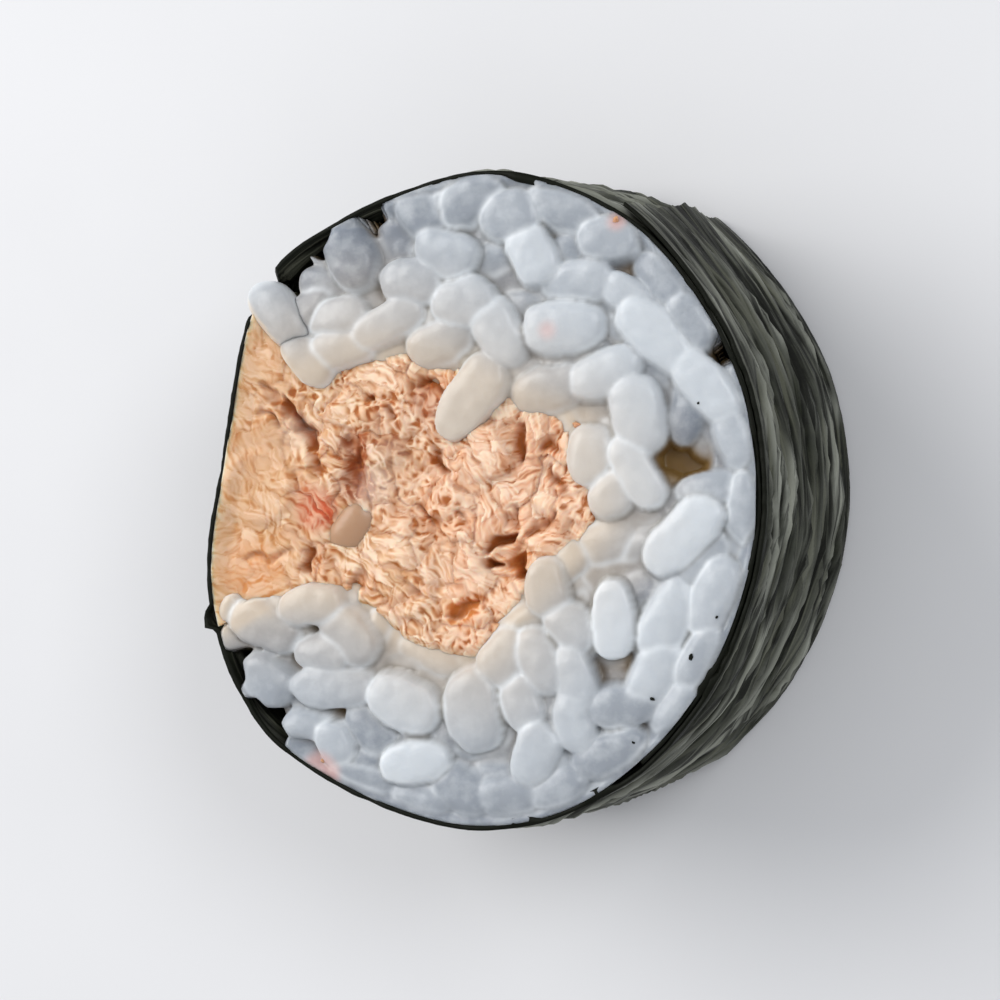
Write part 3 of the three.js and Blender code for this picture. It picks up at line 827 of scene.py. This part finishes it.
def rice_relief(grains, x, y, step, is_upper):
    """The rice at each point of a square grid: its height over the cut and the layers of its finish,
    among them painted highlight and painted shade.
    """
    seed = SEEDS["grain"]
    wx, wy = wavered(x, y, (0.24, 2.4, seed, seed + 2), (0.05, 0.9, seed + 1, seed + 3))
    best, second = np.full(x.shape, -STARCH["deepest"]), np.full(x.shape, -STARCH["deepest"])
    owner = np.full(x.shape, len(grains))
    for index, grain in enumerate(grains):
        near = np.hypot(wx - grain["x"], wy - grain["y"]) < grain["length"] / 2 + 0.2
        top = np.minimum(grain_top(grain, wx[near], wy[near]), MOST_PROUD)
        was_best = best[near]
        second[near] = np.where(top > was_best, was_best, np.maximum(second[near], top))
        owner[near] = np.where(top > was_best, index, owner[near])
        best[near] = np.maximum(was_best, top)
    starch = starch_height(best, x, y, step, is_upper)
    owner[starch > best] = len(grains)
    height = joined(joined(best, second, STARCH["soft"]), starch, STARCH["soft"])
    seam = np.zeros(x.shape)
    for axis in (0, 1):
        seam[owner != np.roll(owner, 1, axis)] = 1
    faint = mix(0.3, 1.0, smooth(0.6 + 1.3 * flat_noise(x, y, 5.0, seed + 4)))
    white = np.array([grain["white"] for grain in grains] + [STARCH_WHITE])[owner]
    stand = np.array([grain["z"] + grain["half_height"] for grain in grains] + [STARCH_STANDS])[owner]
    # Along each seam, a painted highlight on the higher grain and a painted shade on the lower one.
    above = stand - blurred(stand, SEAM["shadow_rounds"])
    rim = np.clip(blurred(seam, SEAM["highlight_rounds"]) * SEAM["highlight_gain"], 0, 1)
    rim *= smooth(0.6 + 1.2 * above)
    shadow = np.clip(blurred(seam, SEAM["shadow_rounds"]) * SEAM["shadow_gain"], 0, 1)
    shadow *= smooth(-2.0 * above)
    room = np.maximum(room_left(x, y, room_reach), 0)
    height = height - SEAM["groove"] * faint * np.clip(blurred(seam, 1) * 2, 0, 1)
    if is_upper:
        sunk = spots(x, y, UPPER_GAPS, GAP_EDGE) * (1 - smooth(room / GAP_RIM))
        height = np.maximum(height - sunk, -STARCH["deepest"])
    height = pressed(height) - RICE_RIM["drop"] * np.exp(-room / RICE_RIM["width"])
    height = blurred(height + 0.05 * flat_noise(x, y, 1.0, seed + 5), 1)
    evened_out = blurred(height, RICE_RIM["even_rounds"])
    height = mix(evened_out, height, smooth(room / RICE_RIM["even"]))
    layers = {
        "white": blurred(white, 2),
        # In turn: a painted highlight along the higher side of each seam, a painted shade on its lower
        # side, a painted brown shade deep between the grains and a painted dark shade deep near the
        # nori.
        "outline": 0.9 * blurred(rim * faint, 1) * smooth(room / 0.9),
        "seam_shade": 0.6 * blurred(shadow * faint, 2),
        "warm": warmth(x, y) * (1 - 0.5 * blurred(white, 2)),
        "depth": smooth((-height - DEPTH_SHADE["from"]) / DEPTH_SHADE["over"]),
        "shade": smooth((-height - SHADE["from"]) / SHADE["over"]) * smooth(SHADE["near_nori"] - room),
    }
    for tint, places in RICE_TINTS.items():
        layers[tint] = spots(x, y, places, TINT_EDGE["rice"])
    return height, layers


def loose_grain(grain):
    """The points and faces of one grain, closed all round."""
    along = -np.cos(np.linspace(0.02, math.pi - 0.02, LOOSE_RINGS))
    around = np.arange(LOOSE_SIDES) * 2 * math.pi / LOOSE_SIDES
    s, a = np.meshgrid(along, around, indexing="ij")
    power = GRAIN["squareness"]
    oval = (np.abs(np.cos(a)) ** power + np.abs(np.sin(a)) ** power) ** (-1 / power)
    thick = (1 - np.abs(s) ** GRAIN["end"]) ** (1 / GRAIN["body"]) * (1 + grain["taper"] * s) * oval
    x = s * grain["length"] / 2
    y = thick * np.cos(a) * grain["width"] / 2 + grain["bend"] * (1 - s**2)
    z = thick * np.sin(a) * grain["thickness"] / 2
    size = LOOSE_LUMPS["size"]
    lump = 1 + LOOSE_LUMPS["height"] * noise(x / size, y / size, z / size, SEEDS["grain"] + 7)
    points = np.stack([x * lump, y * lump, z * lump], axis=-1).reshape(-1, 3) @ turning(grain).T
    faces = [face[::-1] for face in ball_faces(LOOSE_RINGS, LOOSE_SIDES)]
    return points + (grain["x"], grain["y"], grain["z"]), faces


def add_loose_grains(points, faces, layers):
    """Adds the grains that lie on the filling or stand out over the nori to the upper end."""
    random = np.random.default_rng(SEEDS["upper"] + 1)
    for grain in grains_shown(random, LOOSE_GRAINS):
        own_points, own_faces = loose_grain(grain)
        faces += [[corner + len(points) for corner in face] for face in own_faces]
        x, y, z = own_points.T
        # A painted highlight that grows towards the lower part of the grain.
        edge = smooth((grain["z"] + 0.5 * grain["half_height"] - z) / grain["half_height"] + 0.4)
        own = {"white": np.full(len(x), grain["white"]), "outline": 0.6 * edge, "warm": warmth(x, y)}
        for tint, places in RICE_TINTS.items():
            own[tint] = spots(x, y, places, TINT_EDGE["loose"])
        missing = np.zeros(len(x))
        for key, values in layers.items():
            layers[key] = np.concatenate([values, own.get(key, missing)])
        points = np.concatenate([points, own_points])
    return points, faces, layers


def rice_piece(name, grains, finish, is_upper):
    """The rice of one end: grains fused with each other and with the starch between them."""
    step = GRID[name]
    x, y = square_grid(step)
    height, layers = rice_relief(grains, x, y, step, is_upper)
    under_filling = room_left(x, y, filling_reach * BURIED, FILLING_MIDDLE) > 0
    under_filling &= spots(x, y, [OVER_FILLING], GAP_EDGE) == 0
    px, py, used, cells = patch(x, y, room_reach, left_out=under_filling)
    height = height.ravel()[used]
    pulled = 1 - PIT_DRAWN_IN["share"] * np.maximum(-height - PIT_DRAWN_IN["below"], 0)
    points = np.column_stack([px * pulled, py * pulled, height])
    layers = {key: values.ravel()[used] for key, values in layers.items()}
    points, faces, layers = closed_behind(points, cells, layers)
    if is_upper:
        points, faces, layers = add_loose_grains(points, faces, layers)
    points, faces = in_place(points, faces, is_upper)
    return build_piece(name, points, faces, finish, "rice", **layers)


# ---- Filling ----

def crease_depth(x, y):
    """How deep the creases are at each point; they waver, and run out at both ends."""
    seed = SEEDS["filling"] + 30
    wx, wy = wavered(x, y, (0.6, 1.5, seed, seed + 1))
    uneven = mix(0.55, 1.3, smooth(0.5 + 0.9 * flat_noise(x, y, 0.9, seed + 2)))
    total = np.zeros(x.shape)
    for x0, y0, x1, y1, half_width, depth in CREASES:
        start = PHOTO_MIDDLE + (x0, y0)
        run = np.array([x1 - x0, y1 - y0])
        share = np.clip(((wx - start[0]) * run[0] + (wy - start[1]) * run[1]) / (run @ run), 0, 1)
        away = np.hypot(wx - start[0] - run[0] * share, wy - start[1] - run[1] * share)
        ends = 0.35 + 0.65 * np.sqrt(4 * share * (1 - share))
        total = np.maximum(total, depth * ends * np.exp(-((away / (half_width * uneven)) ** 2)))
    return total


def flake_flow(x, y):
    """The direction in which the fibres of the filling run."""
    turns_up = math.radians(80) * smooth((x - 0.5) / 4)
    return math.radians(-38) + turns_up + 0.9 * flat_noise(x, y, 4.0, SEEDS["filling"] + 20)


def cell_numbers(column, row, seed, count):
    """Numbers from 0 to 1 that belong to a cell of a grid."""
    mixed = (column * HASH_AXES[0]) ^ (row * HASH_AXES[1]) ^ (seed * HASH_AXES[2])
    numbers = []
    for _ in range(count):
        mixed = (mixed ^ (mixed >> 13)) * 1274126177
        numbers.append(((mixed >> 9) & 65535) / 65535)
    return numbers


def flakes(x, y, size, stretch, seed):
    """Irregular flakes that lie side by side, each with its own direction and level.

    Returns how far inside its flake each point is, the flake's level from 0 to 1, and the point's
    place along and across the flake's fibres.
    """
    px, py = x / size, y / size
    column, row = np.floor(px).astype(np.int64), np.floor(py).astype(np.int64)
    best, second = np.full(len(x), 9.0), np.full(len(x), 9.0)
    level, along, across = np.zeros(len(x)), np.zeros(len(x)), np.zeros(len(x))
    for i, j in np.ndindex(3, 3):
        near_column, near_row = column + i - 1, row + j - 1
        off_x, off_y, spread, own = cell_numbers(near_column, near_row, seed, 4)
        middle_x, middle_y = near_column + off_x, near_row + off_y
        way = flake_flow(middle_x * size, middle_y * size) + 1.6 * (spread - 0.5)
        dx, dy = px - middle_x, py - middle_y
        run = dx * np.cos(way) + dy * np.sin(way)
        side = dy * np.cos(way) - dx * np.sin(way)
        away = np.hypot(run / stretch, side)
        nearer = away < best
        second = np.where(nearer, best, np.minimum(second, away))
        best = np.where(nearer, away, best)
        level = np.where(nearer, own, level)
        along = np.where(nearer, run, along)
        across = np.where(nearer, side, across)
    return second - best, level, along * size, across * size


def filling_relief(x, y, seed, is_upper):
    """The flaked surface about its mean level, and its finish: pale crests, partly the cream's own
    colour and partly painted highlight, and painted shade in the hollows.
    """
    wx, wy = wavered(x, y, (0.35, 1.3, seed + 1, seed + 2), (0.12, 0.5, seed + 11, seed + 12))
    lumps = 0.45 * flat_noise(x, y, 4.5, seed + 3)
    inside, level, along, across = flakes(wx, wy, *FLAKES["large"], seed + 4)
    small = flakes(wx, wy, *FLAKES["small"], seed + 5)
    small_inside, small_level, small_along, small_across = small
    calm = mix(0.3, 1.0, smooth((x + 16.8) / 3.5))
    crumbly = np.maximum(spots(x, y, CRUMBLY, 2.0), smooth(1.8 * flat_noise(x, y, 5.0, seed + 6)))
    dome, small_dome = smooth(inside / 0.22), smooth(small_inside / 0.35)
    long, wide = THREADS["long"]
    threads = crests(noise(along / long, across / wide, 9 * level, seed + 7), 3.0, -1)
    long, wide = THREADS["short"]
    short = crests(noise(small_along / long, small_across / wide, 9 * small_level, seed + 8), 3.0, -1)
    curls = crests(flat_noise(wx, wy, CURL_SIZE, seed + 9), 3.2, -1)
    strands = mix(0.55 * threads + 0.45 * short, 0.6 * curls + 0.4 * short, crumbly)
    broad = lumps + calm * (0.3 * (level - 0.5) + 0.12 * (level - 0.5) * along - 0.16 * (1 - dome))
    fine = calm * (0.08 * (small_level - 0.5) - 0.03 * (1 - small_dome))
    at_nori = smooth(1 - room_left(x, y, room_reach) / 1.6)
    height = mix(broad + fine + 0.07 * calm * strands, FILLING["at_nori"], at_nori)
    # Paler on the crests of the strands, partly own colour and partly painted highlight; painted shade
    # between the strands and at the flakes' borders.
    crest = smooth(0.35 + 0.9 * strands) * mix(0.5, 1.0, small_level) * mix(0.45, 1.0, calm)
    hollow = mix(0.3, mix(0.75, 1.0, crumbly), calm) * smooth(mix(-0.05, 0.1, crumbly) - 1.3 * strands)
    hollow += 0.3 * (1 - dome) * calm
    hollow += 0.25 * calm * (1 - small_dome) * smooth(1.3 - 1.6 * small_level)
    if is_upper:
        creases = crease_depth(x, y)
        height = height + spots(x, y, FOLDS, 0.9) - creases
        # More painted shade in the creases.
        hollow = hollow + smooth(creases / 1.1)
    tone = smooth((x + 13) / 15 + 0.4 * flat_noise(x, y, 5.0, seed + 10))
    layers = {"tone": tone, "crest": np.clip(crest, 0, 1), "hollow": np.clip(hollow, 0, 1)}
    for tint, places in TUNA_TINTS.items():
        layers[tint] = spots(x, y, places, TINT_EDGE["tuna"]) * is_upper
        layers[tint] *= mix(0.4, 1.0, smooth(0.6 - strands))
    return height, layers


def filling_piece(name, finish, is_upper):
    """One end of the filling."""
    px, py, _, cells = patch(*square_grid(GRID[name]), spread_reach, FILLING_MIDDLE)
    relief, layers = filling_relief(px, py, SEEDS["filling"] + (0 if is_upper else 40), is_upper)
    outside = np.maximum(-room_left(px, py, filling_reach, FILLING_MIDDLE), 0)
    relief = relief - UNDER_RICE["slope"] * outside
    if not is_upper:
        relief = np.minimum(FILLING["lower_relief"] * relief, FILLING["sunk"] - FILLING["least_sunk"])
    points = np.column_stack([px, py, relief - FILLING["sunk"]])
    points, faces, layers = closed_behind(points, cells, layers)
    points, faces = in_place(points, faces, is_upper)
    return build_piece(name, points, faces, finish, "tuna", **layers)


def crumbs(name, under, finish, slot, **layers):
    """Small flattened lumps that lie on a piece at the places listed for them."""
    random = np.random.default_rng(SEEDS["crumbs"])
    tree = tree_of(under.data)
    along = np.linspace(0.1, math.pi - 0.1, CRUMB_RINGS)
    around = np.arange(CRUMB_SIDES) * 2 * math.pi / CRUMB_SIDES
    a, b = (v.ravel() for v in np.meshgrid(along, around, indexing="ij"))
    ball = np.column_stack([np.sin(a) * np.cos(b), np.sin(a) * np.sin(b), CRUMB["flat"] * np.cos(a)])
    shell = ball_faces(CRUMB_RINGS, CRUMB_SIDES)
    vertices, faces = np.empty((0, 3)), []
    for x, y, size in CRUMBS[slot]:
        place = PHOTO_MIDDLE + (x, y)
        top = tree.ray_cast(Vector((*place, CUT + 5)) * MM, Vector((0, 0, -1)))[0]
        lumpy = 1 + CRUMB["lumpy"] * noise(*(ball * 1.7 + random.uniform(0, 50, 3)).T, SEEDS["crumbs"])
        faces += [[corner + len(vertices) for corner in face] for face in shell]
        lump = ball * lumpy[:, None] * size * CRUMB_SHAPE
        turn = random.uniform(0, math.pi)
        lump = lump @ turning({"roll": 0, "tilt": CRUMB["tilt"], "turn": turn}).T
        vertices = np.concatenate([vertices, lump + (*place, top.z / MM + 0.1 * size)])
    layers = {key: np.full(len(vertices), value) for key, value in layers.items()}
    return build_piece(name, vertices, faces, finish, slot, **layers)


# ---- Nori ----

def near_turn(turn, middle, half_width):
    """1 at a turn in degrees, falling to 0 at the half width from it."""
    off = (np.degrees(turn) - middle + 180) % 360 - 180
    return smooth(1.4 * (1 - np.abs(off) / half_width))


def nori_stand_off(wrapped, share):
    """How far the sheet's outside stands off the roll: its second layer, and its curled free edge."""
    doubled = NORI["thickness"] + NORI["layer_gap"]
    from_curl = (share - NORI_FLAP["curl_height"]) / NORI_FLAP["curl_spread"]
    curl = NORI_FLAP["curl"] * np.exp(-(from_curl**2))
    flap = np.clip(1 - wrapped / NORI_FLAP["length"], 0, 1) ** 2 * (NORI_FLAP["lift"] + curl)
    return doubled * (1 - smooth((wrapped - NORI["overlap"]) / NORI["step_down"])) + flap


def nori_relief(x, y, z):
    """Wrinkles that run round the wall: their height, and the painted highlight along their ridges.

    They are long sharp ridges with finer ones between them, and all of them drift up and down.
    """
    def wall_noise(z, along, up, seed):
        return noise(x / along, y / along, z / up, SEEDS["nori"] + seed)

    drifted = z + (1.8 * wall_noise(z, 17, 25, 0) + 0.3 * wall_noise(z, 5, 8, 4))
    broad = wall_noise(drifted, 20, 2.1, 1)
    middle = wall_noise(drifted, 12, 1.0, 2)
    fine = wall_noise(drifted, 5, 0.5, 3)
    # Patches where the painted highlight on the ridges is stronger.
    lit = smooth(0.5 + 1.8 * wall_noise(drifted, 12, 3.1, 8))
    height = WRINKLES["long"] * crests(broad, 2.6) ** 1.5
    height += WRINKLES["between"] * crests(middle, 2.4) ** 1.5
    height += WRINKLES["fine"] * fine
    # A painted highlight along the ridges of the wrinkles.
    ridge = mix(0.2, 1.0, lit) * (crests(broad, 5.0) + 0.7 * crests(middle, 5.0)) + 0.1 * fine
    return height - WRINKLES["mean"], np.clip(ridge, 0, 1)


def nori_piece(finish):
    wrapped = np.linspace(0, 1 + NORI["overlap"], NORI_COLUMNS)
    share = np.linspace(0, 1, NORI_ROWS)
    w, v = (field.ravel() for field in np.meshgrid(wrapped, share, indexing="ij"))
    turn = math.radians(FREE_EDGE_TURN) - w * 2 * math.pi
    distance = w * 2 * math.pi * ROLL_RADIUS
    frayed = near_turn(turn, FRAYED["turn"], FRAYED["half_width"])
    teeth = NORI_TEETH["long"] * noise(distance / 2.6, v * 1.5, 0, SEEDS["nori"] + 5)
    short = noise(distance / 0.7, v * 1.5, 0, SEEDS["nori"] + 6)
    teeth += mix(NORI_TEETH["short"], NORI_TEETH["frayed"], frayed) * short
    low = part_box("nori")[0].z / MM
    torn = TORN_OUT["depth"] * near_turn(turn, TORN_OUT["turn"], TORN_OUT["half_width"])
    z = mix(low, CUT - NORI["below_cut"] - torn, v) + teeth * np.abs(2 * v - 1) ** 3
    roll = at_turn(roll_reach, turn)
    relief, ridge = nori_relief(np.cos(turn) * roll, np.sin(turn) * roll, z)
    from_edge = np.minimum(v, 1 - v) * CUT
    relief -= NORI_DRAWN_IN["depth"] * smooth((w - NORI_DRAWN_IN["from"]) / NORI_DRAWN_IN["over"])
    relief *= mix(NORI_CALM["at_cut"], 1, smooth(from_edge / NORI_CALM["cut_width"]))
    relief *= mix(NORI_CALM["at_free_edge"], 1, smooth(w / NORI_CALM["free_width"]))
    out = roll + nori_stand_off(w, v) + relief
    out += FRAYED["out"] * frayed * smooth((z - CUT) / FRAYED["height"] + 1)
    thickness = np.full(len(w), NORI["thickness"])
    for spot_turn, half_width, more in EDGE_SPOTS:
        thickness += more * near_turn(turn, spot_turn, half_width) * smooth(v * 8 - 7)
    sides = [np.column_stack([np.cos(turn) * r, np.sin(turn) * r, z]) for r in (out, out - thickness)]
    count = len(w)
    outer_faces = grid_faces(NORI_COLUMNS, NORI_ROWS)
    faces = outer_faces.tolist() + (outer_faces[:, ::-1] + count).tolist()
    rim = borders(outer_faces)[0]
    faces += [[b, a, a + count, b + count] for a, b in zip(rim, rim[1:] + rim[:1])]
    edge = 1 - smooth(from_edge / 0.5)
    # The inner face keeps a fifth of the painted highlight on the ridges.
    layers = {"ridge": np.concatenate([ridge, ridge * 0.2]), "edge": np.concatenate([edge, edge])}
    return build_piece("nori_sheet", np.concatenate(sides), faces, finish, "nori", **layers)


# ---- Stage, lights and camera ----

def make_stage():
    mesh = bpy.data.meshes.new("floor")
    corners = [(-FLOOR_HALF, -FLOOR_HALF, 0), (FLOOR_HALF, -FLOOR_HALF, 0)]
    corners += [(FLOOR_HALF, FLOOR_HALF, 0), (-FLOOR_HALF, FLOOR_HALF, 0)]
    mesh.from_pydata(corners, [], [(0, 1, 2, 3)])
    mesh.materials.append(floor_finish())
    floor = add_object("floor", mesh)


def area_light(name, place, size, power, tint):
    data = bpy.data.lights.new(name, "AREA")
    data.shape = "DISK"
    data.size = size
    data.energy = power
    data.color = tint
    light = add_object(name, data)
    light.location = place
    light.rotation_euler = (-Vector(place)).to_track_quat("-Z", "Y").to_euler()


def make_lights():
    world = bpy.data.worlds.new("soft_room")
    world.use_nodes = True
    back = world.node_tree.nodes["Background"]
    back.inputs["Color"].default_value = ROOM_LIGHT["tint"]
    back.inputs["Strength"].default_value = ROOM_LIGHT["strength"]
    bpy.context.scene.world = world
    for name, lamp in LAMPS.items():
        area_light(name, *lamp)


def make_camera():
    offset = CAMERA_FROM_TARGET * MM
    data = bpy.data.cameras.new("camera")
    data.sensor_width = SENSOR_WIDTH
    data.lens = data.sensor_width * offset.length / (SEEN_WIDTH * MM)
    camera = add_object("camera", data)
    camera.location = CAMERA_TARGET * MM + offset
    look = (-offset).normalized()
    right = look.cross(Vector((0, 1, 0))).normalized()
    up = right.cross(look)
    camera.rotation_euler = Matrix((right, up, -look)).transposed().to_euler()
    bpy.context.scene.camera = camera


make_camera()
make_stage()
make_lights()
bpy.context.scene.view_settings.view_transform = "Standard"

rice, tuna, nori = rice_finish(), tuna_finish(), nori_finish()
upper_rice = rice_piece("rice_upper", upper_grains(), rice, True)
rice_piece("rice_lower", lower_grains(), rice, False)
filling_piece("tuna_upper", tuna, True)
filling_piece("tuna_lower", tuna, False)
nori_piece(nori)
# The crumbs carry even shares of the painted highlight and painted shade layers of their material.
crumbs("tuna_crumbs", upper_rice, tuna, "tuna", tone=0.5, crest=0.2, hollow=0.35, red=0.25)
crumbs("nori_crumbs", upper_rice, nori, "nori", edge=1.0, ridge=0.2)
